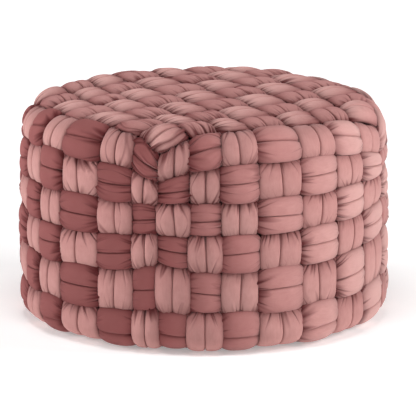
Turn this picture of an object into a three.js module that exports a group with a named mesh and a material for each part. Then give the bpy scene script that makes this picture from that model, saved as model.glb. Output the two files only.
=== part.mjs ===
// A braided floor pouf. Stuffed velvet tubes lie side by side in pairs, and the pairs are woven over and
// under each other around a round filled cushion, like a basket with seven strands each way over the top
// and six hoops around the side. Millimetres, +Z up, origin at the centre of the flat underside.
import * as THREE from 'three';

// Overall size
const DIAMETER = 508;
const HEIGHT = 305;

// The strands: a pad is a stretch that shows, a link is the stretch hidden under the crossing strand
const PAD_RISE = 17;
const GROOVE_DEPTH = 6;
const CLEARANCE = 0.42;
const LINK_THICKNESS = 5;
const UNEVEN = 0.09;

// The surface that the weave lies on, a drum with a crown and a slight taper towards the top
const CROWN = 5;
const TAPER = 0.03;
const WIDEST_HEIGHT = 90;
const SURFACE_RADIUS = DIAMETER / 2 - PAD_RISE;
const SURFACE_TOP = HEIGHT - PAD_RISE - CROWN;
const SURFACE_BOTTOM = PAD_RISE;
const TOP_ROUND = 27;
const BOTTOM_ROUND = 12;
const TUCK_UNDER = 12;

// The cushion inside, whose flat foot shows from below
const CUSHION_INSET = CLEARANCE + LINK_THICKNESS + 0.8;
const CUSHION_ROUND = 22;
const FOOT_RADIUS = SURFACE_RADIUS - BOTTOM_ROUND - TUCK_UNDER - 2.5;
const FOOT_ROUND = 3;
const CUSHION_SIDES = 56;

// Rows of crossings down the side. start is the distance of a row's upper edge from the top's centre,
// measured along the surface, pull is how much lower that edge lies at the four woven corners, and lean
// is how much it tips down towards one side.
const ROWS = [
  { start: 213, pull: 34, lean: 0 },
  { start: 254, pull: 26, lean: 1 },
  { start: 305, pull: 3, lean: 4 },
  { start: 352, pull: -6, lean: 6 },
  { start: 401, pull: -15, lean: 6 },
  { start: 454, pull: -6, lean: 3 },
];
const LEAN_ANGLE = THREE.MathUtils.degToRad(-125);
const CORNER_FADE = 0.43;

// Columns of crossings on each side face, in degrees around the axis, from the face's first corner
const COLUMNS = 7;
const FACES = {
  east: { corner: -45, turn: 1, widths: [9.9, 9.8, 11.6, 14.6, 14, 14, 16.1] },
  north: { corner: 45, turn: 1, widths: [11.8, 12.1, 13.4, 14, 14.2, 13.5, 11] },
  west: { corner: -135, turn: -1, widths: [12, 12.6, 13.6, 14.4, 13.8, 12.6, 11] },
  south: { corner: -45, turn: -1, widths: [7.8, 12.2, 15.7, 12.1, 11.2, 14.8, 16.2] },
};

// Cross-sections of a strand, from one side over the top to the other side, then the keel beneath.
// across is a share of the cell's width. In a pad rise is a share of PAD_RISE, in a link it is in mm,
// and a pad's keel takes its height from the clearance.
const PAD_SECTION = [
  { across: -0.51, rise: 0.42 },
  { across: -0.27, rise: 1 },
  { across: 0, rise: 1 - GROOVE_DEPTH / PAD_RISE },
  { across: 0.27, rise: 1 },
  { across: 0.51, rise: 0.42 },
  { across: 0, rise: 0 },
];
const LINK_SECTION = [
  { across: -0.24, rise: -CLEARANCE - LINK_THICKNESS / 2 },
  { across: -0.13, rise: -CLEARANCE },
  { across: 0, rise: -CLEARANCE },
  { across: 0.13, rise: -CLEARANCE },
  { across: 0.24, rise: -CLEARANCE - LINK_THICKNESS / 2 },
  { across: 0, rise: -CLEARANCE - LINK_THICKNESS },
];
const KEEL = PAD_SECTION.length - 1;

// The top hoop lies over the shoulder and the lowest one round the lower edge, so their keels stand off
const SHOULDER_KEEL_LIFT = 1.1;
const LOWEST_KEEL = { fromEnd: 22, rise: 4.7 };

// A pad's end sections, where it is pinched before it dives under its neighbour
const END_REACH = 0.1;
const END_HEIGHT = 0.62;
const END_WIDTH = 0.97;

// How far a straight stretch of a pad or a link may stand off the round surface
const PAD_ERROR = 0.8;
const LINK_ERROR = 0.9;
const KEEL_MARGIN = 1.4;
const MOST_STEPS = 8;
const ONE_STEP = { steps: 1, error: 0 };

const VELVET = { color: 0xc4918c, roughness: 0.85, metalness: 0 };
const BASE_CLOTH = { color: 0x8a5a5a, roughness: 0.95, metalness: 0 };

// Outline of the drum in reach and height, from the top's centre out, down and under
function drumOutline(inset, lowerRound) {
  const flat = SURFACE_RADIUS - TOP_ROUND;
  const outline = new THREE.Path();
  outline.moveTo(0, SURFACE_TOP - inset);
  outline.lineTo(flat / 2, SURFACE_TOP - inset);
  outline.lineTo(flat, SURFACE_TOP - inset);
  outline.absarc(flat, SURFACE_TOP - TOP_ROUND, TOP_ROUND - inset, Math.PI / 2, 0, true);
  outline.lineTo(SURFACE_RADIUS - inset, HEIGHT / 2);
  outline.lineTo(SURFACE_RADIUS - inset, SURFACE_BOTTOM + lowerRound);
  const lower = [SURFACE_RADIUS - lowerRound, SURFACE_BOTTOM + lowerRound];
  outline.absarc(...lower, lowerRound - inset, 0, -Math.PI / 2, true);
  return outline;
}

const surface = drumOutline(0, BOTTOM_ROUND);
surface.lineTo(SURFACE_RADIUS - BOTTOM_ROUND - TUCK_UNDER, SURFACE_BOTTOM);
const surfaceLength = surface.getLength();

// The crown and the taper, given to every point of the pouf alike
function shaped(reach, height) {
  const lean = Math.max(0, (height - WIDEST_HEIGHT) / (HEIGHT - WIDEST_HEIGHT));
  const crown = CROWN * (1 - (reach / SURFACE_RADIUS) ** 2) * (height / HEIGHT) ** 2;
  return new THREE.Vector2(reach * (1 - TAPER * lean ** 2), height + Math.max(0, crown));
}

// A point of the weave: how far along the surface, at which angle, and how high above it
function pointAt({ distance, angle }, rise) {
  const along = Math.min(distance / surfaceLength, 1);
  const point = surface.getPoint(along);
  const tangent = surface.getTangent(along);
  const { x: reach, y: height } = shaped(point.x - tangent.y * rise, point.y + tangent.x * rise);
  return new THREE.Vector3(reach * Math.cos(angle), reach * Math.sin(angle), height);
}

// Corners of the cells on a side face, column and row counted from the face's first corner and the rim
function sideCorner(faceName, column, row) {
  const { corner, turn, widths } = FACES[faceName];
  const swept = widths.slice(0, column).reduce((sum, width) => sum + width, 0);
  const angle = THREE.MathUtils.degToRad(corner + turn * swept);
  if (row === ROWS.length) {
    return { distance: surfaceLength, angle };
  }
  const { start, pull, lean } = ROWS[row];
  const nearCorner = CORNER_FADE ** Math.min(column, COLUMNS - column);
  return { distance: start + pull * nearCorner + lean * Math.cos(angle - LEAN_ANGLE), angle };
}

// The rim's corners laid out flat, as if the shoulder were pressed into the plane of the top
function flatRim(faceName, column) {
  const { distance, angle } = sideCorner(faceName, column, 0);
  return new THREE.Vector2(distance * Math.cos(angle), distance * Math.sin(angle));
}

// Corners of the cells on the top, blended from the four rims (a Coons patch)
function topCorner(column, row) {
  const u = column / COLUMNS;
  const v = row / COLUMNS;
  const point = new THREE.Vector2();
  point.addScaledVector(flatRim('south', column), 1 - v);
  point.addScaledVector(flatRim('north', column), v);
  point.addScaledVector(flatRim('east', row), 1 - u);
  point.addScaledVector(flatRim('west', row), u);
  point.addScaledVector(flatRim('south', 0), -(1 - u) * (1 - v));
  point.addScaledVector(flatRim('south', COLUMNS), -u * (1 - v));
  point.addScaledVector(flatRim('north', 0), -(1 - u) * v);
  point.addScaledVector(flatRim('north', COLUMNS), -u * v);
  return point;
}

// A cell is one crossing. Its corners are the start and the end of the strand's way through it,
// each with a right and a left side, and over says whether this strand shows there.
function sideCell(faceName, right, left, rows, over) {
  const [startRow, endRow] = rows;
  return {
    over,
    corners: [
      sideCorner(faceName, right, startRow), sideCorner(faceName, left, startRow),
      sideCorner(faceName, right, endRow), sideCorner(faceName, left, endRow),
    ],
  };
}

function hoopCell(faceName, startColumn, endColumn, row, over) {
  return {
    over,
    corners: [
      sideCorner(faceName, startColumn, row), sideCorner(faceName, startColumn, row - 1),
      sideCorner(faceName, endColumn, row), sideCorner(faceName, endColumn, row - 1),
    ],
  };
}

function topCell(corners, over) {
  return { over, flat: true, corners };
}

function mix(corners, key, along, across) {
  const start = corners[0][key] * (1 - across) + corners[1][key] * across;
  const end = corners[2][key] * (1 - across) + corners[3][key] * across;
  return start * (1 - along) + end * along;
}

// Place on the surface of a point in a cell, along and across from 0 to 1
function placeIn(cell, along, across) {
  if (cell.flat) {
    const x = mix(cell.corners, 'x', along, across);
    const y = mix(cell.corners, 'y', along, across);
    return { distance: Math.hypot(x, y), angle: Math.atan2(y, x) };
  }
  return {
    distance: mix(cell.corners, 'distance', along, across),
    angle: mix(cell.corners, 'angle', along, across),
  };
}

// How far the surface stands off a straight line along a cell, halfway across it unless told otherwise
function chordError(cell, from, to, across = 0.5) {
  const spot = (along) => pointAt(placeIn(cell, along, across), 0);
  const chord = new THREE.Line3(spot(from), spot(to));
  const crest = spot((from + to) / 2);
  return chord.closestPointToPoint(crest, true, new THREE.Vector3()).distanceTo(crest);
}

// The fewest even steps that follow a cell within an allowed error, and the error that is left
function stepsAlong(cell, from, to, fewest, allowed) {
  for (let steps = fewest; ; steps += 1) {
    let error = 0;
    for (let step = 0; step < steps; step += 1) {
      const ends = [step, step + 1].map((count) => from + (to - from) * count / steps);
      error = Math.max(error, ...[0, 0.5, 1].map((across) => chordError(cell, ...ends, across)));
    }
    if (error < allowed || steps === MOST_STEPS) {
      return { steps, error };
    }
  }
}

// A hoop's link is straight, so its ends are raised by what its middle lies below the round wall
function liftOf(cell) {
  return cell?.hoop ? chordError(cell, 0, 1) : 0;
}

function padHeight(strand, index) {
  return 1 - UNEVEN * (0.5 + 0.5 * Math.sin(12.9 * strand + 4.7 * index + 1.3 * strand * index));
}

function padRing(cell, along, height, width, error) {
  return PAD_SECTION.map((spot, index) => {
    const place = placeIn(cell, along, 0.5 + spot.across * width);
    if (index === KEEL && cell.lowest) {
      const distance = surfaceLength - LOWEST_KEEL.fromEnd;
      return pointAt({ distance, angle: place.angle }, LOWEST_KEEL.rise * height + error);
    }
    if (index === KEEL) {
      return pointAt(place, CLEARANCE + KEEL_MARGIN * error + (cell.shoulder ? SHOULDER_KEEL_LIFT : 0));
    }
    return pointAt(place, spot.rise * PAD_RISE * height);
  });
}

function linkRing(cell, along, lift, error) {
  return LINK_SECTION.map(({ across, rise }, index) => {
    const thinned = index === KEEL ? rise + error : rise;
    return pointAt(placeIn(cell, along, 0.5 + across), thinned + lift);
  });
}

// Rings across a pad: pinched ones at its ends and full ones between them
function padRings(cell, height) {
  const { steps, error } = stepsAlong(cell, END_REACH, 1 - END_REACH, 2, PAD_ERROR);
  const rings = [];
  for (let step = 0; step <= steps; step += 1) {
    const atEnd = step === 0 || step === steps;
    const along = END_REACH + (1 - 2 * END_REACH) * step / steps;
    const share = atEnd ? END_HEIGHT : 1;
    rings.push(padRing(cell, along, height * share, atEnd ? END_WIDTH : 1, error));
  }
  return rings;
}

// The cut end of a strand, tucked under the pouf beside the base
function endRing(cell, along) {
  return cell.over ? padRing(cell, along, END_HEIGHT, END_WIDTH, 0) : linkRing(cell, along, 0, 0);
}

// The rings of one strand through its cells, with a link's ring at each edge between two cells
function strandRings(cells, strand, closed) {
  const rings = [];
  cells.forEach((cell, index) => {
    const before = index > 0 || closed ? cells.at(index - 1) : undefined;
    const hidden = cell.over ? before : cell;
    const { steps, error } = hidden && !hidden.hoop ? stepsAlong(hidden, 0, 1, 1, LINK_ERROR) : ONE_STEP;
    rings.push(before ? linkRing(cell, 0, liftOf(hidden), error) : endRing(cell, 0));
    if (cell.over) {
      rings.push(...padRings(cell, padHeight(strand, index)));
    } else {
      for (let step = 1; step < steps; step += 1) {
        rings.push(linkRing(cell, step / steps, 0, error));
      }
    }
  });
  if (!closed) {
    rings.push(endRing(cells.at(-1), 1));
  }
  return rings;
}

// A closed skin over the rings, joined round for a hoop or shut with a face at each end
// Each face is split along its shorter diagonal, so that the skin can't cross itself where a pad dives
function skinOver(rings, closed) {
  const size = rings[0].length;
  const corners = rings.flat();
  const positions = corners.flatMap((point) => point.toArray());
  const faces = [];
  const last = closed ? rings.length : rings.length - 1;
  for (let ring = 0; ring < last; ring += 1) {
    const here = ring * size;
    const next = ((ring + 1) % rings.length) * size;
    for (let spot = 0; spot < size; spot += 1) {
      const side = (spot + 1) % size;
      const forward = corners[here + spot].distanceTo(corners[next + side]);
      const backward = corners[here + side].distanceTo(corners[next + spot]);
      if (forward < backward) {
        faces.push(here + spot, next + side, here + side, here + spot, next + spot, next + side);
      } else {
        faces.push(here + spot, next + spot, here + side, here + side, next + spot, next + side);
      }
    }
  }
  if (!closed) {
    const end = (rings.length - 1) * size;
    for (let spot = 1; spot < size - 1; spot += 1) {
      faces.push(KEEL, (KEEL + spot) % size, (KEEL + spot + 1) % size);
      faces.push(end + KEEL, end + (KEEL + spot + 1) % size, end + (KEEL + spot) % size);
    }
  }
  const geometry = new THREE.BufferGeometry();
  geometry.setAttribute('position', new THREE.Float32BufferAttribute(positions, 3));
  geometry.setIndex(faces);
  geometry.computeVertexNormals();
  return geometry;
}

function velvetMesh(name, cells, strand, closed) {
  const geometry = skinOver(strandRings(cells, strand, closed), closed);
  const mesh = new THREE.Mesh(geometry, new THREE.MeshStandardMaterial(VELVET));
  mesh.name = name;
  return mesh;
}

// Up one side face, over the top and down the opposite face
function strandCells(up, down, overSide, overTop, topCorners) {
  const cells = [];
  for (let row = ROWS.length; row > 0; row -= 1) {
    cells.push(sideCell(up.face, up.right, up.left, [row, row - 1], overSide(row)));
  }
  for (let step = COLUMNS; step > 0; step -= 1) {
    cells.push(topCell(topCorners(step), overTop(step)));
  }
  for (let row = 1; row <= ROWS.length; row += 1) {
    cells.push(sideCell(down.face, down.right, down.left, [row - 1, row], overSide(row)));
  }
  return cells;
}

// Strands along X, numbered from the -Y side
function strandAlongX(number) {
  const sides = { right: number - 1, left: number };
  const overSide = (row) => (number + row) % 2 === 0;
  const overTop = (crossing) => (number + crossing) % 2 === 1;
  const topCorners = (crossing) => [
    topCorner(crossing, number - 1), topCorner(crossing, number),
    topCorner(crossing - 1, number - 1), topCorner(crossing - 1, number),
  ];
  return strandCells({ face: 'west', ...sides }, { face: 'east', ...sides }, overSide, overTop, topCorners);
}

// Strands along Y, numbered from the +X side
function strandAlongY(number) {
  const sides = { right: number - 1, left: number };
  const overSide = (row) => (number + row) % 2 === 1;
  const overTop = (crossing) => (number + crossing) % 2 === 0;
  const topCorners = (crossing) => {
    const row = COLUMNS - crossing;
    return [
      topCorner(number - 1, row), topCorner(number, row),
      topCorner(number - 1, row + 1), topCorner(number, row + 1),
    ];
  };
  return strandCells({ face: 'south', ...sides }, { face: 'north', ...sides }, overSide, overTop, topCorners);
}

// Hoops around the side, numbered from the top
function hoop(number) {
  const cells = [];
  const course = [
    { face: 'east', forward: true, overWhen: 1 },
    { face: 'north', forward: true, overWhen: 0 },
    { face: 'west', forward: false, overWhen: 1 },
    { face: 'south', forward: false, overWhen: 0 },
  ];
  course.forEach(({ face, forward, overWhen }) => {
    for (let step = 1; step <= COLUMNS; step += 1) {
      const column = forward ? step : COLUMNS + 1 - step;
      const [start, end] = forward ? [column - 1, column] : [column, column - 1];
      const cell = hoopCell(face, start, end, number, (column + number) % 2 === overWhen);
      cells.push({ ...cell, hoop: true, shoulder: number === 1, lowest: number === ROWS.length });
    }
  });
  return cells;
}

// The filled cushion, a solid of revolution under the weave with a flat foot below it
function cushionMesh() {
  const outline = drumOutline(CUSHION_INSET, CUSHION_ROUND);
  const soleHeight = SURFACE_BOTTOM + CUSHION_INSET;
  outline.lineTo(FOOT_RADIUS, soleHeight);
  outline.lineTo(FOOT_RADIUS, FOOT_ROUND);
  outline.lineTo(FOOT_RADIUS - FOOT_ROUND, 0);
  outline.lineTo(0, 0);
  const profile = outline.getPoints(2).map((point) => shaped(point.x, point.y));
  const geometry = new THREE.LatheGeometry(profile.reverse(), CUSHION_SIDES);
  geometry.rotateX(Math.PI / 2);
  const mesh = new THREE.Mesh(geometry, new THREE.MeshStandardMaterial(BASE_CLOTH));
  mesh.name = 'cushion';
  return mesh;
}

const pouf = new THREE.Group();
pouf.add(cushionMesh());
for (let number = 1; number <= COLUMNS; number += 1) {
  pouf.add(velvetMesh(`strand_x${number}`, strandAlongX(number), number, false));
  pouf.add(velvetMesh(`strand_y${number}`, strandAlongY(number), COLUMNS + number, false));
}
for (let number = 1; number <= ROWS.length; number += 1) {
  pouf.add(velvetMesh(`hoop_${number}`, hoop(number), 2 * COLUMNS + number, true));
}

// The widest pads differ a little from side to side, so the whole is centred over its foot by its box
const box = new THREE.Box3().setFromObject(pouf);
const middle = box.getCenter(new THREE.Vector3());
pouf.position.set(-middle.x, -middle.y, 0);
pouf.updateMatrixWorld(true);

export default pouf;
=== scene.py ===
import math

import bpy
import numpy as np
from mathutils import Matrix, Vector
from mathutils.bvhtree import BVHTree


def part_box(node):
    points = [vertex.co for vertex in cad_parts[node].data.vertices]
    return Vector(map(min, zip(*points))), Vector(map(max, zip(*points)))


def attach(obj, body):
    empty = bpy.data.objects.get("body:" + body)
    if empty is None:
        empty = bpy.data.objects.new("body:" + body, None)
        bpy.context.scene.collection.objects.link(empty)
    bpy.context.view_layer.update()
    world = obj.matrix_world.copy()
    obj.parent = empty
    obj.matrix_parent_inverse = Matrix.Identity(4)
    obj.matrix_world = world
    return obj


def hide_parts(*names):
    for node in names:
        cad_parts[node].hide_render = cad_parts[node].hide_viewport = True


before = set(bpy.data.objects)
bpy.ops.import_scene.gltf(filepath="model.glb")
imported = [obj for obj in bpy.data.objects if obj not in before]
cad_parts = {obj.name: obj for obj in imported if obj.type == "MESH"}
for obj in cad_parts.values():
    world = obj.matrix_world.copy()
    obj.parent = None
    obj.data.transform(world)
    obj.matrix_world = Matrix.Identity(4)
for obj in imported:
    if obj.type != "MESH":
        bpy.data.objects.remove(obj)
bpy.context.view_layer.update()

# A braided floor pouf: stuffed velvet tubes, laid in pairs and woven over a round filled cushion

# The drum that the weave lies on, in metres, the same as the solids
DIAMETER = 0.508
HEIGHT = 0.305
PAD_RISE = 0.017
CROWN = 0.005
TAPER = 0.03
WIDEST_HEIGHT = 0.090
SURFACE_RADIUS = DIAMETER / 2 - PAD_RISE
SURFACE_TOP = HEIGHT - PAD_RISE - CROWN
TOP_ROUND = 0.027
BOTTOM_ROUND = 0.012
TUCK_UNDER = 0.012
TOP_FLAT = SURFACE_RADIUS - TOP_ROUND
WALL = SURFACE_TOP - TOP_ROUND - PAD_RISE - BOTTOM_ROUND
TOP_ARC = TOP_ROUND * math.pi / 2
BOTTOM_ARC = BOTTOM_ROUND * math.pi / 2
SURFACE_LENGTH = TOP_FLAT + TOP_ARC + WALL + BOTTOM_ARC + TUCK_UNDER

# Rows of crossings down the side: distance of the upper edge from the top's centre along the surface,
# how much lower it lies at the woven corners, and how much it tips down towards one side
ROWS = [
    {"start": 0.213, "pull": 0.034, "lean": 0.000},
    {"start": 0.254, "pull": 0.026, "lean": 0.001},
    {"start": 0.305, "pull": 0.003, "lean": 0.004},
    {"start": 0.352, "pull": -0.006, "lean": 0.006},
    {"start": 0.401, "pull": -0.015, "lean": 0.006},
    {"start": 0.454, "pull": -0.006, "lean": 0.003},
]
LEAN_ANGLE = math.radians(-125)
CORNER_FADE = 0.43

# Columns of crossings on each side face, in degrees around the axis from the face's first corner
COLUMNS = 7
FACES = {
    "east": {"corner": -45, "turn": 1, "widths": [9.9, 9.8, 11.6, 14.6, 14, 14, 16.1]},
    "north": {"corner": 45, "turn": 1, "widths": [11.8, 12.1, 13.4, 14, 14.2, 13.5, 11]},
    "west": {"corner": -135, "turn": -1, "widths": [12, 12.6, 13.6, 14.4, 13.8, 12.6, 11]},
    "south": {"corner": -45, "turn": -1, "widths": [7.8, 12.2, 15.7, 12.1, 11.2, 14.8, 16.2]},
}

# A strand's finer form: its rings along a pad and a link, and its section of two tubes side by side
PAD_STEPS = 22
LINK_PLACES = (0.12, 0.34, 0.66, 0.88)
SIDE_TURNS = (-80, -52, -28, -14, -4, 5, 12, 18, 24, 30, 36, 42, 48, 53)
TOP_SPOTS = (0.60, 0.555, 0.51, 0.465, 0.42, 0.38, 0.34, 0.30, 0.265, 0.23, 0.197, 0.166, 0.137, 0.110,
             0.085, 0.062, 0.042, 0.025, 0.011, 0)
SECTION_UP_SHARE = 0.45
EVEN_RINGS = 0.35
GROOVE_DEPTH = 0.0036
GROOVE_WIDTH = 0.0008
GROOVE_DEEPER_AT_ENDS = 0.5
GROOVE_WIDER_AT_ENDS = 1.2
VALLEY_DEPTH = 0.0011
VALLEY_SHARE = 0.28
END_ROUNDNESS = 0.58
END_LOBE = 0.035
LOBE_SHAPE = 0.6
MIDDLE_SOFTNESS = 0.25
HEIGHT_VARIATION = 0.10
WIDTH_VARIATION = 0.025
BOW_VARIATION = 0.02
DRIFT_VARIATION = 0.05
DRIFT_TURN = 0.04
TUBE_SAG = 0.05
TUBE_SAG_WIDTH = 0.3
LINK_SQUARENESS = 2.7
LINK_HALF_WIDTH = 0.30
LINK_TOP = -0.0008
LINK_UNDERSIDE = -0.0050

# Where strands press on each other: the share of a pad's half length past which it gives way, the deepest
# cut that is mended, how squarely a point must lie behind a surface to count, and the slight depth that
# is left, at which the cloth of the two stays closed
YIELD_FROM = 0.72
PRESS_DEPTH = 0.0065
PRESS_SQUARENESS = 0.5
PRESS_LEFT = 0.0004
PRESS_ROUNDS = 2

# A pad's form. "reach" is how far it goes past its cell and "half_width" half its width, as shares of the
# cell, and "fullness" is a share of the full rise. "end_rise" is how high its ends lie and "end_power" how
# late it falls to them. "squareness" is that of its section, and "narrowing" how much its ends draw in.
# "fan" is how much its gathers spread from the groove, and "pulls" how hard each end is pulled together.
# "lean" is how far its nap leans along the strand, and "swing" how much its painted shade changes along it.
PAD_FORMS = {
    "hoop": {
        "reach": 0.060, "half_width": 0.545, "fullness": 1.00,
        "end_rise": 0.0058, "end_power": 2.6, "squareness": 2.45, "narrowing": 0.090,
        "fan": (0.7, 1.5), "pulls": ((0.7, 1.0), (0.1, 0.6)), "lean": 0.45, "swing": -0.30,
    },
    "recessed": {
        "reach": 0.030, "half_width": 0.490, "fullness": 0.84,
        "end_rise": 0.0060, "end_power": 2.0, "squareness": 3.00, "narrowing": 0.050,
        "fan": (0.1, 0.5), "pulls": ((0.3, 0.9), (0.2, 0.8)), "lean": 0.45, "swing": -0.20,
    },
    "side": {
        "reach": 0.030, "half_width": 0.492, "fullness": 0.84,
        "end_rise": 0.0062, "end_power": 2.0, "squareness": 3.50, "narrowing": 0.045,
        "fan": (0.5, 1.9), "pulls": ((0.2, 1.0), (0.05, 0.7)), "lean": 0.35, "swing": 0.28,
    },
    "proud": {
        "reach": 0.060, "half_width": 0.565, "fullness": 1.00,
        "end_rise": 0.0058, "end_power": 2.6, "squareness": 2.60, "narrowing": 0.080,
        "fan": (0.8, 1.9), "pulls": ((0.8, 1.0), (0.1, 0.8)), "lean": 0.35, "swing": 0.28,
    },
    "top": {
        "reach": 0.020, "half_width": 0.510, "fullness": 1.00,
        "end_rise": 0.0055, "end_power": 2.0, "squareness": 2.35, "narrowing": 0.090,
        "fan": (0.2, 1.0), "pulls": ((0.5, 1.0), (0.5, 1.0)), "lean": -0.10, "swing": 0.65,
    },
}

# Gathers, which are deepest near the woven corner between the south and the east face, and the stretch
# below that corner, between two angles, where the upright pads stand proud and the others lie back
GATHER_HEIGHT = 0.25
GATHER_ANGLE = math.radians(-45)
GATHER_RANGE = 0.13
GATHER_REACH = 1.25
PROUD_FROM = math.radians(-54)
PROUD_TO = math.radians(-24)
PROUD_BELOW = 0.29

# Folds of the mesh at a pad's ends: their number, where they lie round the section and how wide they are
# there, their depth in metres, and their length as a share of half the pad. Depth and length have a part
# that is there without a pull, and the woven corner adds to their number and length.
FOLD_COUNT = (2, 4)
FOLD_COUNT_GAIN = 3
FOLD_SPREAD = (0.42, 0.97)
FOLD_WIDTH = (0.030, 0.050)
FOLD_DEPTH = (0.0012, 0.0034)
FOLD_DEPTH_UNPULLED = 0.25
FOLD_LENGTH = (0.25, 0.75)
FOLD_LENGTH_UNPULLED = 0.5
FOLD_LENGTH_GAIN = 0.6
FOLD_FADE = 1.1
FOLD_SHARPNESS = 1.4
FOLD_SHOULDER = 0.30
SHOULDER_WIDTH = 2.6

# Creases at a pad's ends: how far they run in, as a share of half the pad, how they fade, the pull that the
# woven corner gives at least, the wrinkling of a pad far from it, and how far apart the patterns are drawn
PUCKER_LENGTH = (0.55, 1.05)
PUCKER_LENGTH_GAIN = 0.7
PUCKER_FALL = 1.15
CORNER_PULL = 0.85
GATHER_LEAST = 0.25
CREASE_PATTERNS = 40

# The cushion inside, whose flat foot shows from below
CUSHION_INSET = 0.0062
CUSHION_ROUND = 0.022
FOOT_INSET = 0.0025
FOOT_RADIUS = SURFACE_RADIUS - BOTTOM_ROUND - TUCK_UNDER - FOOT_INSET
FOOT_ROUND = 0.003
CUSHION_SIDES = 160
SOLE_REACHES = (0.0, 0.05, 0.10, 0.15, 0.18)
SOLE_EDGE = 0.001
SOLE_ROUND = 0.008
WALL_FROM = 0.03
WALL_TO = 0.01
CAP_INSET = 0.02
SEAM_RADIUS = 0.199
SEAM_SIZE = 0.0016
SEAM_WIDTH = 1.6
SEAM_RISE = 0.9
SEAM_FADE = 0.012
SEAM_PUCKERS = 52
SEAM_PUCKER_HEIGHT = 0.0005
UNDERSIDE_BELOW = 0.003

# The view, fitted to the picture's frame
FRAME_PIXELS = 416
VIEW_AZIMUTH = math.radians(59.4)
VIEW_ELEVATION = math.radians(12.9)
VIEW_DISTANCE = 4.5
FOCAL_PIXELS = 3306
TARGET_PIXEL = (203.9, 199.4)
TARGET_HEIGHT = 0.1525
SENSOR_MM = 36

# Colours of the cloth, with painted shade and painted sheen among them
VELVET_LIGHT = (0.55, 0.270, 0.250, 1)
VELVET_DEEP = (0.40, 0.170, 0.160, 1)
# Painted shade on pads whose nap is set to read darker
VELVET_PAINTED_NAP_SHADE = (0.27, 0.070, 0.070, 1)
# Paler streaks in the pile, and painted sheen on pads whose nap is set to read paler
VELVET_PALE_AND_SHEEN = (0.80, 0.48, 0.44, 1)
# Painted shade in folds, creases and the hollows between pads
VELVET_PAINTED_CREVICE_SHADE = (0.10, 0.012, 0.014, 1)
BASE_DEEP = (0.13, 0.055, 0.055, 1)
BASE_LIGHT = (0.24, 0.11, 0.11, 1)

# Which way the nap runs along each kind of strand, and the painted shade that gives: above 0 painted darker,
# below 0 paler with painted sheen. Pads on the top have one painted shade a way, hoops one that swings round
# the pouf, and upright pads a slight one, or a darker one on the faces where the nap runs down. The rest
# limit how far a painted shade goes.
NAP_WAY = {"x": -1, "y": 1, "hoop": 1}
NAP_SHADE_OVER = {"x": 0.52, "y": -0.06}
NAP_SHADE_ANGLE = math.radians(-95)
NAP_SHADE_MEAN = 0.30
NAP_SHADE_SWING = 1.15
SIDE_SHADE = 0.08
SIDE_SWING = 0.12
SHADE_IF_DOWN = 0.38
SHADE_VARIATION = 0.10
MOST_PAINTED_SHEEN = 0.48
PAINTED_SHADE_SHARE = 0.85

# The cloth's finer relief and tone: how fine its patterns are round the strand, along it and from shade to
# shade, and how strong and how deep its bumps are
MOTTLING_SCALE = (70, 40, 9)
STROKES_SCALE = (420, 60, 9)
STROKES_SHARE = 0.30
PILE_SCALE = (2600, 1300, 9)
PILE_BUMP = {"Strength": 0.25, "Distance": 0.0004}
WRINKLES_SCALE = (330, 26, 9)
WRINKLES_POWER = 2.2
WRINKLES_BUMP = {"Strength": 0.55, "Distance": 0.0022}
CREASES_A_METRE = 185
CREASES_ALONG = 0.15
CREASE_BUMP = {"Strength": 0.9, "Distance": 0.0028}
PUFF_WIDTH = 0.12
PUFF_POWER = 0.6
# Painted shade in creases, folds and hollows: how dark a crease is painted and how wide and soft its line,
# how dark a fold is painted per unit of its depth, and how the hollows between pads are painted darker
CREASE_DARKNESS = 0.85
CREASE_WIDTH = 0.12
CREASE_SOFTNESS = 0.07
FOLD_DARKNESS = 0.5
FOLD_UNIT = 0.0015
HOLLOW_GAIN = 1.95
HOLLOW_IF_LOOSE = 0.62
HOLLOW_START = 0.12
HOLLOW_FALL = 1.15
VELVET_SURFACE = {
    "Roughness": 0.85, "Specular IOR Level": 0.15, "Sheen Weight": 0.25, "Sheen Roughness": 0.50,
    "Sheen Tint": (1.0, 0.68, 0.65, 1),
}
WARP_SCALE = (1800, 260, 900)
WEFT_SCALE = (260, 1800, 900)
BLOTCHES_SCALE = (18, 18, 18)
THREAD_BUMP = {"Strength": 0.5, "Distance": 0.0006}
BASE_SURFACE = {"Roughness": 0.9, "Specular IOR Level": 0.2}

# The floor, which glows more away from the pouf, and the lights around it, in degrees and watts
FLOOR_HALF = 14
FLOOR_TONES = ((0.86, 0.86, 0.86, 1), (0.89, 0.89, 0.89, 1))
FLOOR_GRAIN = 6.0
FLOOR_GLOW = 0.30
GLOW_FROM = 0.5
GLOW_TO = 2.4
FLOOR_SURFACE = {"Emission Color": (1, 1, 1, 1), "Roughness": 0.8, "Specular IOR Level": 0.2}
LIGHTS = {
    "left": {"azimuth": -30, "elevation": 14, "power": 56},
    "right": {"azimuth": 88, "elevation": 20, "power": 14},
    "back_right": {"azimuth": 144, "elevation": 26, "power": 48},
    "above": {"azimuth": 45, "elevation": 75, "power": 35},
}
LIGHT_DISTANCE = 2.8
LIGHT_SIZE = 1.1
LIGHT_AIM_HEIGHT = 0.15
WORLD_LIGHT = 0.06

SEED = 7

cushion_low, cushion_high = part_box("cushion")
axis_x = (cushion_low[0] + cushion_high[0]) / 2
axis_y = (cushion_low[1] + cushion_high[1]) / 2


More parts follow.
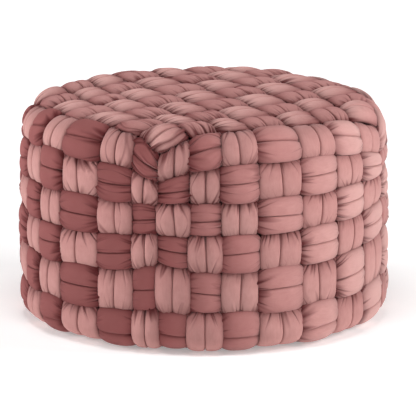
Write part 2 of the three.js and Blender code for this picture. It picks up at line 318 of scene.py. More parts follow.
def on_profile(distance):
    """Reach, height and outward direction of the drum's outline at a distance from the top's centre."""
    upper = np.clip((distance - TOP_FLAT) / TOP_ROUND, 0, math.pi / 2)
    lower = np.clip((distance - TOP_FLAT - TOP_ARC - WALL) / BOTTOM_ROUND, 0, math.pi / 2)
    down = np.clip(distance - TOP_FLAT - TOP_ARC, 0, WALL)
    under = np.clip(distance - SURFACE_LENGTH + TUCK_UNDER, 0, None)
    reach = np.minimum(distance, TOP_FLAT) + TOP_ROUND * np.sin(upper)
    reach = reach - BOTTOM_ROUND * (1 - np.cos(lower)) - under
    height = SURFACE_TOP - TOP_ROUND * (1 - np.cos(upper)) - down - BOTTOM_ROUND * np.sin(lower)
    return reach, height, np.sin(upper + lower), np.cos(upper + lower)


def shaped(reach, height):
    """The crown and the taper, given to every point alike."""
    lean = np.clip((height - WIDEST_HEIGHT) / (HEIGHT - WIDEST_HEIGHT), 0, None)
    crown = np.clip(CROWN * (1 - (reach / SURFACE_RADIUS) ** 2) * (height / HEIGHT) ** 2, 0, None)
    return reach * (1 - TAPER * lean ** 2), height + crown


def points_at(distance, angle, rise):
    """Points of the weave from their place on the surface and their rise above it."""
    reach, height, out, up = on_profile(distance)
    reach, height = shaped(reach + out * rise, height + up * rise)
    return np.stack([reach * np.cos(angle), reach * np.sin(angle), height], axis=-1)


def side_corner(face, column, row):
    """Distance and angle of a corner between cells on a side face."""
    table = FACES[face]
    angle = math.radians(table["corner"] + table["turn"] * sum(table["widths"][:column]))
    if row == len(ROWS):
        return SURFACE_LENGTH, angle
    edge = ROWS[row]
    near_corner = CORNER_FADE ** min(column, COLUMNS - column)
    tip = edge["lean"] * math.cos(angle - LEAN_ANGLE)
    return edge["start"] + edge["pull"] * near_corner + tip, angle


def flat_rim(face, column):
    """A corner on the rim, pressed flat into the plane of the top."""
    distance, angle = side_corner(face, column, 0)
    return np.array([distance * math.cos(angle), distance * math.sin(angle)])


def top_corner(column, row):
    """A corner between cells on the top, blended from the four rims."""
    u, v = column / COLUMNS, row / COLUMNS
    edges = (1 - v) * flat_rim("south", column) + v * flat_rim("north", column)
    edges = edges + (1 - u) * flat_rim("east", row) + u * flat_rim("west", row)
    corners = (1 - u) * (1 - v) * flat_rim("south", 0) + u * (1 - v) * flat_rim("south", COLUMNS)
    corners = corners + (1 - u) * v * flat_rim("north", 0) + u * v * flat_rim("north", COLUMNS)
    return edges - corners


class Cell:
    """One crossing on a strand's way: its four corners, and whether the strand shows there."""

    def __init__(self, corners, over, kind):
        self.corners = [np.array(corner) for corner in corners]
        self.over = over
        self.kind = kind

    def width(self):
        """The cell's width in metres, half-way along it."""
        ends = [points_at(*self.place(np.array(0.5), np.array(across)), 0.0) for across in (0.0, 1.0)]
        return float(np.linalg.norm(ends[1] - ends[0]))

    def form(self):
        """The form of its pad: low on the side, the upright pads stand proud beside the gathered corner."""
        distance, angle = self.place(np.array(0.5), np.array(0.5))
        beside_corner = PROUD_FROM < float(angle) < PROUD_TO and float(distance) > PROUD_BELOW
        if self.kind == "side" and beside_corner:
            return PAD_FORMS["proud"]
        if self.kind == "hoop" and beside_corner:
            return PAD_FORMS["recessed"]
        return PAD_FORMS[self.kind]

    def pulled_at_start(self):
        """Whether its cloth is pulled together more at its start, which lies higher or nearer the corner."""
        if self.kind == "side":
            return self.corners[0][0] < self.corners[2][0]
        angle = self.place(np.array(0.5), np.array(0.5))[1]
        return self.kind == "top" or math.sin(float(angle) - GATHER_ANGLE) > 0

    def place(self, along, across):
        """A spot of the cell as distance from the top's centre along the surface, and angle."""
        start = self.corners[0] * (1 - across)[..., None] + self.corners[1] * across[..., None]
        end = self.corners[2] * (1 - across)[..., None] + self.corners[3] * across[..., None]
        spot = start * (1 - along)[..., None] + end * along[..., None]
        if self.kind == "top":
            return np.hypot(spot[..., 0], spot[..., 1]), np.arctan2(spot[..., 1], spot[..., 0])
        return spot[..., 0], spot[..., 1]


def side_cell(face, number, start_row, end_row, over):
    """A crossing of an upright strand on a side face, from one row's edge to the next."""
    right, left = number - 1, number
    rows = [(right, start_row), (left, start_row), (right, end_row), (left, end_row)]
    return Cell([side_corner(face, column, row) for column, row in rows], over, "side")


def strand_x_cells(number):
    """Up the west face, over the top along X and down the east face."""
    def side_over(row):
        return (number + row) % 2 == 0
    cells = [side_cell("west", number, row, row - 1, side_over(row)) for row in range(len(ROWS), 0, -1)]
    for crossing in range(COLUMNS, 0, -1):
        places = [(crossing, number - 1), (crossing, number)]
        places += [(crossing - 1, number - 1), (crossing - 1, number)]
        cells.append(Cell([top_corner(*place) for place in places], (number + crossing) % 2 == 1, "top"))
    cells += [side_cell("east", number, row - 1, row, side_over(row)) for row in range(1, len(ROWS) + 1)]
    return cells


def strand_y_cells(number):
    """Up the south face, over the top along Y and down the north face."""
    def side_over(row):
        return (number + row) % 2 == 1
    cells = [side_cell("south", number, row, row - 1, side_over(row)) for row in range(len(ROWS), 0, -1)]
    for crossing in range(COLUMNS):
        places = [(number - 1, crossing), (number, crossing)]
        places += [(number - 1, crossing + 1), (number, crossing + 1)]
        over = (number + crossing) % 2 == 1
        cells.append(Cell([top_corner(*place) for place in places], over, "top"))
    cells += [side_cell("north", number, row - 1, row, side_over(row)) for row in range(1, len(ROWS) + 1)]
    return cells


def hoop_cells(number):
    """Once around the side, from the corner between the south and the east face."""
    cells = []
    around = (("east", True, 1), ("north", True, 0), ("west", False, 1), ("south", False, 0))
    for face, forward, over_when in around:
        for step in range(1, COLUMNS + 1):
            column = step if forward else COLUMNS + 1 - step
            start, end = (column - 1, column) if forward else (column, column - 1)
            places = [(start, number), (start, number - 1), (end, number), (end, number - 1)]
            corners = [side_corner(face, *place) for place in places]
            cells.append(Cell(corners, (column + number) % 2 == over_when, "hoop"))
    return cells


def half_section(squareness):
    """Half of a pad's section, from its underside round its side and over one tube to the groove."""
    power = 2 / squareness
    turns = np.radians(SIDE_TURNS)
    outward = np.abs(np.cos(turns)) ** power
    upward = np.sign(np.sin(turns)) * np.abs(np.sin(turns)) ** power
    top = np.array(TOP_SPOTS)
    outward = np.concatenate([outward, top])
    upward = np.concatenate([upward, (1 - top ** squareness) ** (1 / squareness)])
    steps = np.hypot(np.diff(outward), SECTION_UP_SHARE * np.diff(upward))
    around = np.concatenate([[0], np.cumsum(steps)])
    return outward, upward, around / around[-1]


RING_POINTS = 2 * (len(SIDE_TURNS) + len(TOP_SPOTS)) - 1


def joined_ring(first, second):
    """Values of the two tubes as one closed ring, which meets itself at the groove."""
    return np.concatenate([first, second[..., -2::-1]], axis=-1)


def nearness_to_gathers(cell):
    """1 at the woven corner where the gathers are deepest, and 0 away from it."""
    distance, angle = cell.place(np.array(0.5), np.array(0.5))
    spot = points_at(distance, angle, 0.0)
    corner = points_at(np.array(GATHER_HEIGHT), np.array(GATHER_ANGLE), 0.0)
    away = np.linalg.norm(spot - corner) / GATHER_RANGE
    return float(np.clip(GATHER_REACH - away, 0, 1))


def fold_depth(from_end, around, pull, strength, fan, generator):
    """Depth of the gathers of one tube at one end, over its rings and its section, in metres."""
    depth = np.zeros((len(from_end), len(around)))
    count = generator.integers(*FOLD_COUNT) + int(round(FOLD_COUNT_GAIN * strength))
    spread = np.sort(generator.uniform(*FOLD_SPREAD, count))
    for middle in spread:
        width = generator.uniform(*FOLD_WIDTH)
        amount = generator.uniform(*FOLD_DEPTH) * (FOLD_DEPTH_UNPULLED + pull)
        length = generator.uniform(*FOLD_LENGTH) * (FOLD_LENGTH_UNPULLED + pull)
        length = length * (1 + FOLD_LENGTH_GAIN * strength)
        centre = 1.0 + (middle - 1.0) * (1 + fan * from_end)
        fade = np.clip(1 - from_end / length, 0, 1) ** FOLD_FADE
        away = np.abs(around[None, :] - centre[:, None]) / width
        valley = np.exp(-away ** FOLD_SHARPNESS)
        valley = valley - FOLD_SHOULDER * np.exp(-(away / SHOULDER_WIDTH) ** 2)
        depth += amount * fade[:, None] * valley
    return depth


def pad_rings(cell, generator):
    """A pad's rings: place along and across the cell, rise, and what its cloth needs to know."""
    form = cell.form()
    outward, upward, around = (values[None, :] for values in half_section(form["squareness"]))
    even = np.linspace(0, 1, PAD_STEPS + 1)
    along = EVEN_RINGS * even + (1 - EVEN_RINGS) * (0.5 - 0.5 * np.cos(even * math.pi))
    side = 2 * along - 1
    end = np.abs(side)
    height = PAD_RISE * form["fullness"] * (1 - HEIGHT_VARIATION * generator.random())
    top = form["end_rise"] + (height - form["end_rise"]) * (1 - end ** form["end_power"]) ** END_ROUNDNESS
    half_width = form["half_width"] + generator.uniform(-WIDTH_VARIATION, WIDTH_VARIATION)
    half_width = half_width * (1 - form["narrowing"] * (end ** 3 + end ** 12))
    bow = generator.uniform(-BOW_VARIATION, BOW_VARIATION) * (1 - side ** 2)
    drift = generator.uniform(-DRIFT_VARIATION, DRIFT_VARIATION)
    drift = drift + generator.uniform(-DRIFT_TURN, DRIFT_TURN) * side
    groove_depth = GROOVE_DEPTH * np.minimum(1, top / height) * (1 + GROOVE_DEEPER_AT_ENDS * end ** 4)
    groove_width = GROOVE_WIDTH * (1 + GROOVE_WIDER_AT_ENDS * end ** 4)
    strength = nearness_to_gathers(cell)
    cell_width = cell.width()
    fan = generator.uniform(*form["fan"])
    limits = form["pulls"] if cell.pulled_at_start() else form["pulls"][::-1]
    pulls = [max(generator.uniform(*pair), CORNER_PULL * strength) for pair in limits]
    lengths = generator.uniform(*PUCKER_LENGTH, 2) + PUCKER_LENGTH_GAIN * strength
    from_end = (1 - np.hypot(side, MIDDLE_SOFTNESS)) + MIDDLE_SOFTNESS ** 2 / 2
    pucker = pulls[0] * np.clip(1 - (1 + side) / lengths[0], 0, 1) ** PUCKER_FALL
    pucker = pucker + pulls[1] * np.clip(1 - (1 - side) / lengths[1], 0, 1) ** PUCKER_FALL
    tubes = []
    for hand in (-1, 1):
        depth = fold_depth(1 + side, around[0], pulls[0], strength, fan, generator)
        depth = depth + fold_depth(1 - side, around[0], pulls[1], strength, fan, generator)
        across = hand * half_width[:, None] * outward
        across = across + bow[:, None] + drift[:, None] * (1 - outward) ** 2
        from_groove = half_width[:, None] * outward * cell_width
        dip = groove_depth[:, None] * np.exp(-from_groove / groove_width[:, None])
        dip = dip + VALLEY_DEPTH * np.exp(-(outward / VALLEY_SHARE) ** 2)
        fullness = 1 - TUBE_SAG * generator.random() * (1 - np.exp(-(outward / TUBE_SAG_WIDTH) ** 2))
        rise = top[:, None] / 2 * (1 + upward * fullness)
        rise = rise - np.where(upward > 0, dip, 0) * np.minimum(1, top[:, None] / height)
        arc = hand * (1 - around) * (half_width[:, None] * cell_width + height / 2)
        bulge = np.sin(math.pi * np.clip(outward, 0, 1)) ** LOBE_SHAPE - LOBE_SHAPE
        lobe = END_LOBE * (side * end ** 5)[:, None] * bulge
        tubes.append((across, rise, depth, arc / (1 + fan * from_end)[:, None], lobe))
    across, rise, depth, arc, lobe = (joined_ring(first, second) for first, second in zip(*tubes))
    along = along[:, None] * (1 + 2 * form["reach"]) - form["reach"] + lobe
    # Painted shade in the hollows: darker where the cloth lies low beside its neighbours, more so at a
    # tightly pulled end
    tightness = pulls[0] * (1 - along) + pulls[1] * along
    gain = HOLLOW_GAIN * (HOLLOW_IF_LOOSE + (1 - HOLLOW_IF_LOOSE) * tightness)
    hollow_shade = np.clip(gain * (1 - rise / height) - HOLLOW_START, 0, 1)
    cloth = {"fold": depth, "hollow_shade": hollow_shade}
    cloth["pucker"] = np.repeat(pucker[:, None], RING_POINTS, axis=1)
    gather = end * (GATHER_LEAST + (1 - GATHER_LEAST) * strength)
    cloth["gather"] = np.repeat(gather[:, None], RING_POINTS, axis=1)
    line = np.repeat(side[:, None], RING_POINTS, axis=1)
    pattern = np.full(arc.shape, CREASE_PATTERNS * generator.random())
    cloth["crease"] = np.stack([arc, line, pattern], axis=-1)
    cloth["yields"] = np.repeat((end > YIELD_FROM)[:, None], RING_POINTS, axis=1)
    return along, 0.5 + across, rise, cloth


def link_rings(places):
    """A link's rings, narrow and flat, where the strand passes under another."""
    along = np.array(places)
    middle = (LINK_TOP + LINK_UNDERSIDE) / 2
    half = (LINK_TOP - LINK_UNDERSIDE) / 2
    outward, upward = half_section(LINK_SQUARENESS)[:2]
    across = joined_ring(-LINK_HALF_WIDTH * outward, LINK_HALF_WIDTH * outward)
    rise = joined_ring(middle + half * upward, middle + half * upward)
    across = np.repeat(across[None, :], len(along), axis=0)
    rise = np.repeat(rise[None, :], len(along), axis=0)
    flat = np.zeros_like(across)
    along = np.repeat(along[:, None], RING_POINTS, axis=1)
    # The hidden link gets full painted shade
    cloth = {"fold": flat, "hollow_shade": flat + 1, "pucker": flat, "gather": flat + GATHER_LEAST}
    cloth["crease"] = np.zeros(across.shape + (3,))
    cloth["yields"] = flat == 0
    return along, 0.5 + across, rise, cloth


def strand_rings(cells, way, generator):
    """All rings of a strand, with what its cloth needs to know at each point."""
    closed = way == "hoop"
    qualities = ("points", "tone_and_painted_shade", "lean", "gather", "fold", "hollow_shade", "pucker", "crease", "yields")
    rings = {name: [] for name in qualities}
    for index, cell in enumerate(cells):
        if cell.over:
            along, across, rise, cloth = pad_rings(cell, generator)
        else:
            places = list(LINK_PLACES)
            if not closed and index == 0:
                places.insert(0, 0.0)
            if not closed and index == len(cells) - 1:
                places.append(1.0)
            along, across, rise, cloth = link_rings(places)
        distance, angle = cell.place(along, across)
        rings["points"].append(points_at(distance, angle, rise))
        for quality, values in cloth.items():
            rings[quality].append(values)
        middle = float(angle[len(angle) // 2].mean())
        # Painted shade and painted sheen by the nap: by where the pad lies round the pouf, by its kind and
        # by the way the nap runs on its face
        away = math.cos(middle - NAP_SHADE_ANGLE)
        if cell.kind == "hoop":
            tone_and_painted_shade = NAP_SHADE_MEAN + NAP_SHADE_SWING * away
        elif cell.kind == "top":
            tone_and_painted_shade = NAP_SHADE_OVER[way]
        elif (index < len(ROWS)) == (NAP_WAY[way] > 0):
            tone_and_painted_shade = SIDE_SHADE + SIDE_SWING * min(away, 0)
        else:
            tone_and_painted_shade = SHADE_IF_DOWN
        tone_and_painted_shade = tone_and_painted_shade + SHADE_VARIATION * generator.uniform(-1, 1)
        # The painted shade changes along the pad, darker towards one end and paler with painted sheen
        # towards the other
        along_pad = np.linspace(-1, 1, len(rise))
        form = cell.form()
        tone_and_painted_shade = tone_and_painted_shade + NAP_WAY[way] * form["swing"] * along_pad
        rings["tone_and_painted_shade"].append(np.repeat(tone_and_painted_shade[:, None], RING_POINTS, axis=1))
        rings["lean"].append(np.full(rise.shape, form["lean"]))
    return {name: np.concatenate(parts) for name, parts in rings.items()}


def grid_faces(rows, closed):
    """Four-sided faces between the rings, each ring closed, and the ring after the last if closed."""
    row = np.arange(rows if closed else rows - 1)
    point = np.arange(RING_POINTS)
    row, point = np.meshgrid(row, point, indexing="ij")
    after = (row + 1) % rows
    beside = (point + 1) % RING_POINTS
    corners = [row * RING_POINTS + point, row * RING_POINTS + beside]
    corners += [after * RING_POINTS + beside, after * RING_POINTS + point]
    return np.stack(corners, axis=-1).reshape(-1, 4)


def add_attribute(mesh, name, values):
    """A number or a direction at each vertex, for the material to read."""
    values = np.asarray(values, dtype=np.float32)
    if values.ndim == 1:
        mesh.attributes.new(name, "FLOAT", "POINT").data.foreach_set("value", values)
    else:
        mesh.attributes.new(name, "FLOAT_VECTOR", "POINT").data.foreach_set("vector", values.ravel())


def woven_strand(cells, way, generator):
    """One woven strand as rings of points, with its nap running one way along it, and its faces."""
    closed = way == "hoop"
    rings = strand_rings(cells, way, generator)
    points = rings["points"] + np.array([axis_x, axis_y, 0])
    rows = len(points)
    if closed:
        ahead = np.roll(points, -1, axis=0) - np.roll(points, 1, axis=0)
    else:
        ahead = np.gradient(points, axis=0)
    nap = NAP_WAY[way] * ahead / np.maximum(np.linalg.norm(ahead, axis=-1, keepdims=True), 1e-9)
    rings["nap"] = nap * rings["lean"][..., None]
    beside = np.roll(points, -1, axis=1) - np.roll(points, 1, axis=1)
    inward = np.cross(ahead, beside)
    inward = inward / np.maximum(np.linalg.norm(inward, axis=-1, keepdims=True), 1e-9)
    points = points + inward * rings["fold"][..., None]
    rings["points"] = points
    step = np.linalg.norm(np.diff(points, axis=0), axis=-1).mean(axis=1)
    run = np.concatenate([[0], np.cumsum(step)])
    spacing = np.linalg.norm(np.diff(points, axis=1), axis=-1)
    round_it = np.concatenate([np.zeros((rows, 1)), np.cumsum(spacing, axis=1)], axis=1)
    run = np.repeat(run[:, None], RING_POINTS, axis=1)
    rings["place"] = np.stack([round_it, run, rings["tone_and_painted_shade"]], axis=-1)
    faces = grid_faces(rows, closed)[:, ::-1].tolist()
    if not closed:
        last = (rows - 1) * RING_POINTS
        faces.append(list(range(RING_POINTS)))
        faces.append([last + point for point in reversed(range(RING_POINTS))])
    rings["faces"] = faces
    return rings


def surface_tree(strand):
    """The strand's surface as it is now, to look up the nearest place on it."""
    return BVHTree.FromPolygons(strand["points"].reshape(-1, 3).tolist(), strand["faces"])


def give_way(strand, other, tree):
    """Move the strand's yielding points that lie inside the other strand out to its surface."""
    points = strand["points"]
    low = other["points"].min(axis=(0, 1))
    high = other["points"].max(axis=(0, 1))
    near = np.all((points > low) & (points < high), axis=-1) & strand["yields"]
    for row, column in zip(*np.nonzero(near)):
        spot = Vector(points[row, column])
        place, normal, _, away = tree.find_nearest(spot, PRESS_DEPTH)
        if place is None or away < PRESS_LEFT:
            continue
        if (spot - place).dot(normal) < -PRESS_SQUARENESS * away:
            points[row, column] = place - normal * PRESS_LEFT


def press_apart(strands):
    """Where strands would cut into each other, their ends and hidden stretches give way in turn."""
    trees = [surface_tree(strand) for strand in strands]
    for _ in range(PRESS_ROUNDS):
        for index, strand in enumerate(strands):
            for other, tree in zip(strands, trees):
                if other is not strand:
                    give_way(strand, other, tree)
            trees[index] = surface_tree(strand)


def strand_object(name, strand, material):
    """The strand as a mesh, with what its material reads."""
    mesh = bpy.data.meshes.new(name)
    mesh.from_pydata(strand["points"].reshape(-1, 3).tolist(), [], strand["faces"])
    mesh.shade_smooth()
    for quality in ("nap", "place", "crease"):
        add_attribute(mesh, quality, strand[quality].reshape(-1, 3))
    for quality in ("gather", "tone_and_painted_shade", "hollow_shade", "pucker"):
        add_attribute(mesh, quality, strand[quality].ravel())
    add_attribute(mesh, "fold", strand["fold"].ravel() / FOLD_UNIT)
    mesh.materials.append(material)
    piece = bpy.data.objects.new(name, mesh)
    bpy.context.collection.objects.link(piece)
    return piece


def cushion_profile():
    """Reach and height of the cushion's outline, from the middle of its foot to its top."""
    outline = [(reach, 0.0) for reach in SOLE_REACHES]
    for turn in np.linspace(0, math.pi, 9):
        reach = SEAM_RADIUS - SEAM_SIZE * math.cos(turn) * SEAM_WIDTH
        outline.append((reach, SEAM_SIZE * math.sin(turn) * SEAM_RISE))
    for turn in np.linspace(0, math.pi / 2, 7):
        reach = FOOT_RADIUS - FOOT_ROUND + FOOT_ROUND * math.sin(turn)
        outline.append((reach, FOOT_ROUND * (1 - math.cos(turn))))
    sole = PAD_RISE + CUSHION_INSET
    outline.append((FOOT_RADIUS, sole - SOLE_EDGE))
    outline.append((FOOT_RADIUS - SOLE_EDGE, sole))
    wall = SURFACE_RADIUS - CUSHION_INSET
    top = SURFACE_TOP - CUSHION_INSET
    for turn in np.linspace(0, math.pi / 2, 8):
        reach = wall - SOLE_ROUND + SOLE_ROUND * math.sin(turn)
        outline.append((reach, sole + SOLE_ROUND * (1 - math.cos(turn))))
    for height in np.linspace(sole + WALL_FROM, top - CUSHION_ROUND - WALL_TO, 9):
        outline.append((wall, height))
    for turn in np.linspace(0, math.pi / 2, 12):
        reach = wall - CUSHION_ROUND + CUSHION_ROUND * math.cos(turn)
        outline.append((reach, top - CUSHION_ROUND + CUSHION_ROUND * math.sin(turn)))
    for reach in np.linspace(wall - CUSHION_ROUND - CAP_INSET, 0, 9):
        outline.append((reach, top))
    return outline


def cushion_object(material):
    """The filled cushion, with a sewn seam round its foot and slight puckers beside the seam."""
    outline = cushion_profile()
    vertices = []
    for reach, height in outline[1:-1]:
        near_seam = 0
        if height < UNDERSIDE_BELOW:
            near_seam = math.exp(-((reach - SEAM_RADIUS) / SEAM_FADE) ** 2)
        for side in range(CUSHION_SIDES):
            angle = 2 * math.pi * side / CUSHION_SIDES
            pucker = SEAM_PUCKER_HEIGHT * near_seam * (1 - math.cos(angle * SEAM_PUCKERS))
            moved_reach, moved_height = shaped(np.array(reach), np.array(height + pucker))
            x = axis_x + float(moved_reach) * math.cos(angle)
            y = axis_y + float(moved_reach) * math.sin(angle)
            vertices.append((x, y, float(moved_height)))
    rows = len(outline) - 2
    faces = []
    for row in range(rows - 1):
        for side in range(CUSHION_SIDES):
            after = (side + 1) % CUSHION_SIDES
            low, high = row * CUSHION_SIDES, (row + 1) * CUSHION_SIDES
            faces.append((low + side, low + after, high + after, high + side))
    bottom, top = len(vertices), len(vertices) + 1
    vertices.append((axis_x, axis_y, 0.0))
    last = (rows - 1) * CUSHION_SIDES
    crown = float(shaped(np.array(0.0), np.array(outline[-1][1]))[1])
    vertices.append((axis_x, axis_y, crown))
    for side in range(CUSHION_SIDES):
        after = (side + 1) % CUSHION_SIDES
        faces.append((bottom, after, side))
        faces.append((top, last + side, last + after))
    mesh = bpy.data.meshes.new("filled_cushion")
    mesh.from_pydata(vertices, [], faces)
    mesh.shade_smooth()
    mesh.materials.append(material)
    cushion = bpy.data.objects.new("filled_cushion", mesh)
    bpy.context.collection.objects.link(cushion)
    return cushion


class Nodes:
    """A material's nodes, added and joined one at a time."""

    def __init__(self, name):
        self.material = bpy.data.materials.new(name)
        self.material.use_nodes = True
        self.tree = self.material.node_tree
        self.shader = self.tree.nodes["Principled BSDF"]

    def add(self, kind, inputs=None, **settings):
        node = self.tree.nodes.new(kind)
        for name, value in settings.items():
            setattr(node, name, value)
        for socket, value in (inputs or {}).items():
            if isinstance(value, bpy.types.NodeSocket):
                self.tree.links.new(value, node.inputs[socket])
            else:
                node.inputs[socket].default_value = value
        return node

    def math(self, operation, first, second):
        return self.add("ShaderNodeMath", {0: first, 1: second}, operation=operation).outputs[0]

    def mix(self, share, first, second):
        node = self.add("ShaderNodeMix", data_type="RGBA")
        for socket, value in ((0, share), (6, first), (7, second)):
            if isinstance(value, bpy.types.NodeSocket):
                self.tree.links.new(value, node.inputs[socket])
            else:
                node.inputs[socket].default_value = value
        return node.outputs[2]

    def attribute(self, name):
        return self.add("ShaderNodeAttribute", attribute_name=name, attribute_type="GEOMETRY")

    def noise(self, vector, scale, detail=2.0, roughness=0.5):
        inputs = {"Vector": vector, "Scale": scale, "Detail": detail, "Roughness": roughness}
        return self.add("ShaderNodeTexNoise", inputs).outputs["Fac"]

    def stretched(self, vector, scale):
        return self.add("ShaderNodeMapping", {"Vector": vector, "Scale": scale}).outputs["Vector"]

    def bump(self, height, settings, normal=None):
        inputs = {"Height": height, **settings}
        if normal is not None:
            inputs["Normal"] = normal
        return self.add("ShaderNodeBump", inputs).outputs[0]

    def join(self, output, socket):
        self.tree.links.new(output, self.shader.inputs[socket])

    def surface(self, values):
        for socket, value in values.items():
            self.shader.inputs[socket].default_value = value


def velvet_material():
    """Dusty rose velvet: pile and mottling, painted shade and painted sheen by its nap, and painted shade in
    folds, creases and hollows.
    """
    nodes = Nodes("velvet")
    nap = nodes.attribute("nap").outputs["Vector"]
    place = nodes.attribute("place").outputs["Vector"]
    gather = nodes.attribute("gather").outputs["Fac"]
    fold = nodes.attribute("fold").outputs["Fac"]
    tone_and_painted_shade = nodes.attribute("tone_and_painted_shade").outputs["Fac"]
    hollow_shade = nodes.attribute("hollow_shade").outputs["Fac"]
    pucker = nodes.attribute("pucker").outputs["Fac"]
    crease = nodes.attribute("crease").outputs["Vector"]
    normal = nodes.add("ShaderNodeNewGeometry").outputs["Normal"]
    leaning = nodes.add("ShaderNodeVectorMath", {0: normal, 1: nap}, operation="ADD").outputs[0]
    tipped = nodes.add("ShaderNodeVectorMath", {0: leaning}, operation="NORMALIZE").outputs[0]

    mottling = nodes.noise(nodes.stretched(place, MOTTLING_SCALE), 1.0, 4.0, 0.6)
    strokes = nodes.noise(nodes.stretched(place, STROKES_SCALE), 1.0, 3.0, 0.6)
    tone = nodes.mix(mottling, VELVET_DEEP, VELVET_LIGHT)
    tone = nodes.mix(nodes.math("MULTIPLY", strokes, STROKES_SHARE), tone, VELVET_PALE_AND_SHEEN)
    # Painted shade where the nap is set darker, and painted sheen where it is set paler
    painted_shade = nodes.math("MINIMUM", nodes.math("MAXIMUM", tone_and_painted_shade, 0.0), 1.0)
    painted_paleness = nodes.math("MULTIPLY", tone_and_painted_shade, -1.0)
    painted_sheen = nodes.math("MINIMUM", nodes.math("MAXIMUM", painted_paleness, 0.0), MOST_PAINTED_SHEEN)
    tone = nodes.mix(nodes.math("MULTIPLY", painted_shade, PAINTED_SHADE_SHARE), tone, VELVET_PAINTED_NAP_SHADE)
    tone = nodes.mix(painted_sheen, tone, VELVET_PALE_AND_SHEEN)
    # Painted shade in folds by their depth, along the crease lines at pulled ends, and in the hollows
    # between pads
    shade_in_folds = nodes.add("ShaderNodeClamp", {0: nodes.math("MULTIPLY", fold, FOLD_DARKNESS)}).outputs[0]
    tone = nodes.mix(shade_in_folds, tone, VELVET_PAINTED_CREVICE_SHADE)
    level = nodes.noise(nodes.stretched(crease, (CREASES_A_METRE, CREASES_ALONG, 9)), 1.0, 0.6, 0.4)
    off_line = nodes.math("ABSOLUTE", nodes.math("SUBTRACT", level, 0.5), 0.0)
    wedge = nodes.math("SUBTRACT", nodes.math("MULTIPLY", pucker, CREASE_WIDTH), off_line)
    limits = {"Value": wedge, 1: 0.0, 2: CREASE_SOFTNESS, 3: 0.0, 4: CREASE_DARKNESS}
    shade_in_creases = nodes.add("ShaderNodeMapRange", limits).outputs["Result"]
    tone = nodes.mix(shade_in_creases, tone, VELVET_PAINTED_CREVICE_SHADE)
    tone = nodes.mix(nodes.math("POWER", hollow_shade, HOLLOW_FALL), tone, VELVET_PAINTED_CREVICE_SHADE)
    nodes.join(tone, "Base Color")

    pile = nodes.noise(nodes.stretched(place, PILE_SCALE), 1.0, 2.0, 0.7)
    wrinkles = nodes.noise(nodes.stretched(place, WRINKLES_SCALE), 1.0, 2.0, 0.45)
    wrinkle_height = nodes.math("MULTIPLY", wrinkles, nodes.math("POWER", gather, WRINKLES_POWER))
    soft = nodes.bump(wrinkle_height, WRINKLES_BUMP, tipped)
    limits = {"Value": off_line, 1: 0.0, 2: PUFF_WIDTH, 3: 0.0, 4: 1.0}
    puff = nodes.math("POWER", nodes.add("ShaderNodeMapRange", limits).outputs["Result"], PUFF_POWER)
    puckered = nodes.bump(nodes.math("MULTIPLY", puff, pucker), CREASE_BUMP, soft)
    nodes.join(nodes.bump(pile, PILE_BUMP, puckered), "Normal")
    nodes.surface(VELVET_SURFACE)
    return nodes.material


def base_cloth_material():
    """Plain matt cloth in a darker rose, with its threads showing."""
    nodes = Nodes("base_cloth")
    place = nodes.add("ShaderNodeTexCoord").outputs["Object"]
    warp = nodes.noise(nodes.stretched(place, WARP_SCALE), 1.0, 2.0, 0.6)
    weft = nodes.noise(nodes.stretched(place, WEFT_SCALE), 1.0, 2.0, 0.6)
    threads = nodes.math("MULTIPLY", warp, weft)
    blotches = nodes.noise(nodes.stretched(place, BLOTCHES_SCALE), 1.0, 3.0, 0.55)
    tone = nodes.mix(blotches, BASE_DEEP, BASE_LIGHT)
    tone = nodes.mix(threads, BASE_DEEP, tone)
    nodes.join(tone, "Base Color")
    nodes.join(nodes.bump(threads, THREAD_BUMP), "Normal")
    nodes.surface(BASE_SURFACE)
    return nodes.material


def floor_material():
    """A plain pale floor."""
    nodes = Nodes("pale_floor")
    place = nodes.add("ShaderNodeTexCoord").outputs["Object"]
    grain = nodes.noise(place, FLOOR_GRAIN, 3.0, 0.5)
    nodes.join(nodes.mix(grain, *FLOOR_TONES), "Base Color")
    away = nodes.add("ShaderNodeVectorMath", {0: place}, operation="LENGTH").outputs["Value"]
    limits = {"Value": away, 1: GLOW_FROM, 2: GLOW_TO, 3: FLOOR_GLOW, 4: 1.0}
    nodes.join(nodes.add("ShaderNodeMapRange", limits).outputs["Result"], "Emission Strength")
    nodes.surface(FLOOR_SURFACE)
    return nodes.material


def finished(piece, node):
    """The piece takes the node's place and rides on the body."""
    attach(piece, "root")
    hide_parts(node)


def add_camera():
    """The camera at the picture's viewing angle."""
    sine, cosine = math.sin(VIEW_AZIMUTH), math.cos(VIEW_AZIMUTH)
    level, lift = math.cos(VIEW_ELEVATION), math.sin(VIEW_ELEVATION)
    back = Vector((sine * level, -cosine * level, lift))
    data = bpy.data.cameras.new("camera")
    data.sensor_width = SENSOR_MM
    data.lens = FOCAL_PIXELS / FRAME_PIXELS * SENSOR_MM
    data.shift_x = (FRAME_PIXELS / 2 - TARGET_PIXEL[0]) / FRAME_PIXELS
    data.shift_y = (TARGET_PIXEL[1] - FRAME_PIXELS / 2) / FRAME_PIXELS
    data.clip_start = 0.05
    data.clip_end = 60
    camera = bpy.data.objects.new("camera", data)
    camera.location = Vector((axis_x, axis_y, TARGET_HEIGHT)) + back * VIEW_DISTANCE
    camera.rotation_mode = "QUATERNION"
    camera.rotation_quaternion = (-back).to_track_quat("-Z", "Y")
    bpy.context.collection.objects.link(camera)
    bpy.context.scene.camera = camera


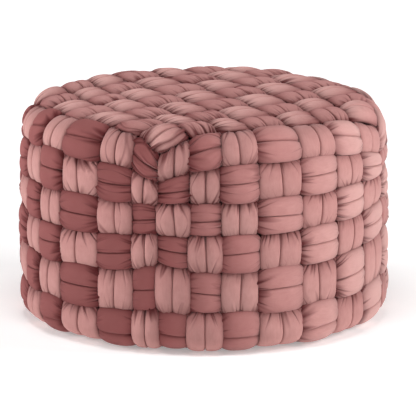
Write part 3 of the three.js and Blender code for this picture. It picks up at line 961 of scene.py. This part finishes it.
def add_light(name, azimuth, elevation, power):
    """A soft square light that looks at the middle of the pouf."""
    turn, lift = math.radians(azimuth), math.radians(elevation)
    level = math.cos(lift)
    back = Vector((math.sin(turn) * level, -math.cos(turn) * level, math.sin(lift)))
    data = bpy.data.lights.new(name, "AREA")
    data.shape = "SQUARE"
    data.size = LIGHT_SIZE
    data.energy = power
    light = bpy.data.objects.new(name, data)
    light.location = Vector((0, 0, LIGHT_AIM_HEIGHT)) + back * LIGHT_DISTANCE
    light.rotation_mode = "QUATERNION"
    light.rotation_quaternion = (-back).to_track_quat("-Z", "Y")
    bpy.context.collection.objects.link(light)


def add_floor_and_lights():
    """A plain pale floor and soft studio light."""
    mesh = bpy.data.meshes.new("floor")
    corners = [(-1, -1), (1, -1), (1, 1), (-1, 1)]
    vertices = [(x * FLOOR_HALF, y * FLOOR_HALF, 0) for x, y in corners]
    mesh.from_pydata(vertices, [], [(0, 1, 2, 3)])
    mesh.materials.append(floor_material())
    floor = bpy.data.objects.new("floor", mesh)
    bpy.context.collection.objects.link(floor)
    for name, light in LIGHTS.items():
        add_light(name, **light)
    world = bpy.data.worlds.new("studio")
    world.use_nodes = True
    world.node_tree.nodes["Background"].inputs["Color"].default_value = (1, 1, 1, 1)
    world.node_tree.nodes["Background"].inputs["Strength"].default_value = WORLD_LIGHT
    bpy.context.scene.world = world
    bpy.context.scene.view_settings.view_transform = "Standard"


add_camera()
add_floor_and_lights()
velvet = velvet_material()
base_cloth = base_cloth_material()
finished(cushion_object(base_cloth), "cushion")
nodes = []
strands = []
for number in range(1, COLUMNS + 1):
    generator = np.random.default_rng(SEED + number)
    strands.append(woven_strand(strand_x_cells(number), "x", generator))
    nodes.append(f"strand_x{number}")
    generator = np.random.default_rng(SEED + 100 + number)
    strands.append(woven_strand(strand_y_cells(number), "y", generator))
    nodes.append(f"strand_y{number}")
for number in range(1, len(ROWS) + 1):
    generator = np.random.default_rng(SEED + 200 + number)
    strands.append(woven_strand(hoop_cells(number), "hoop", generator))
    nodes.append(f"hoop_{number}")
press_apart(strands)
for node, strand in zip(nodes, strands):
    name = "velvet_" + node.replace("strand_", "").replace("hoop_", "hoop")
    finished(strand_object(name, strand, velvet), node)
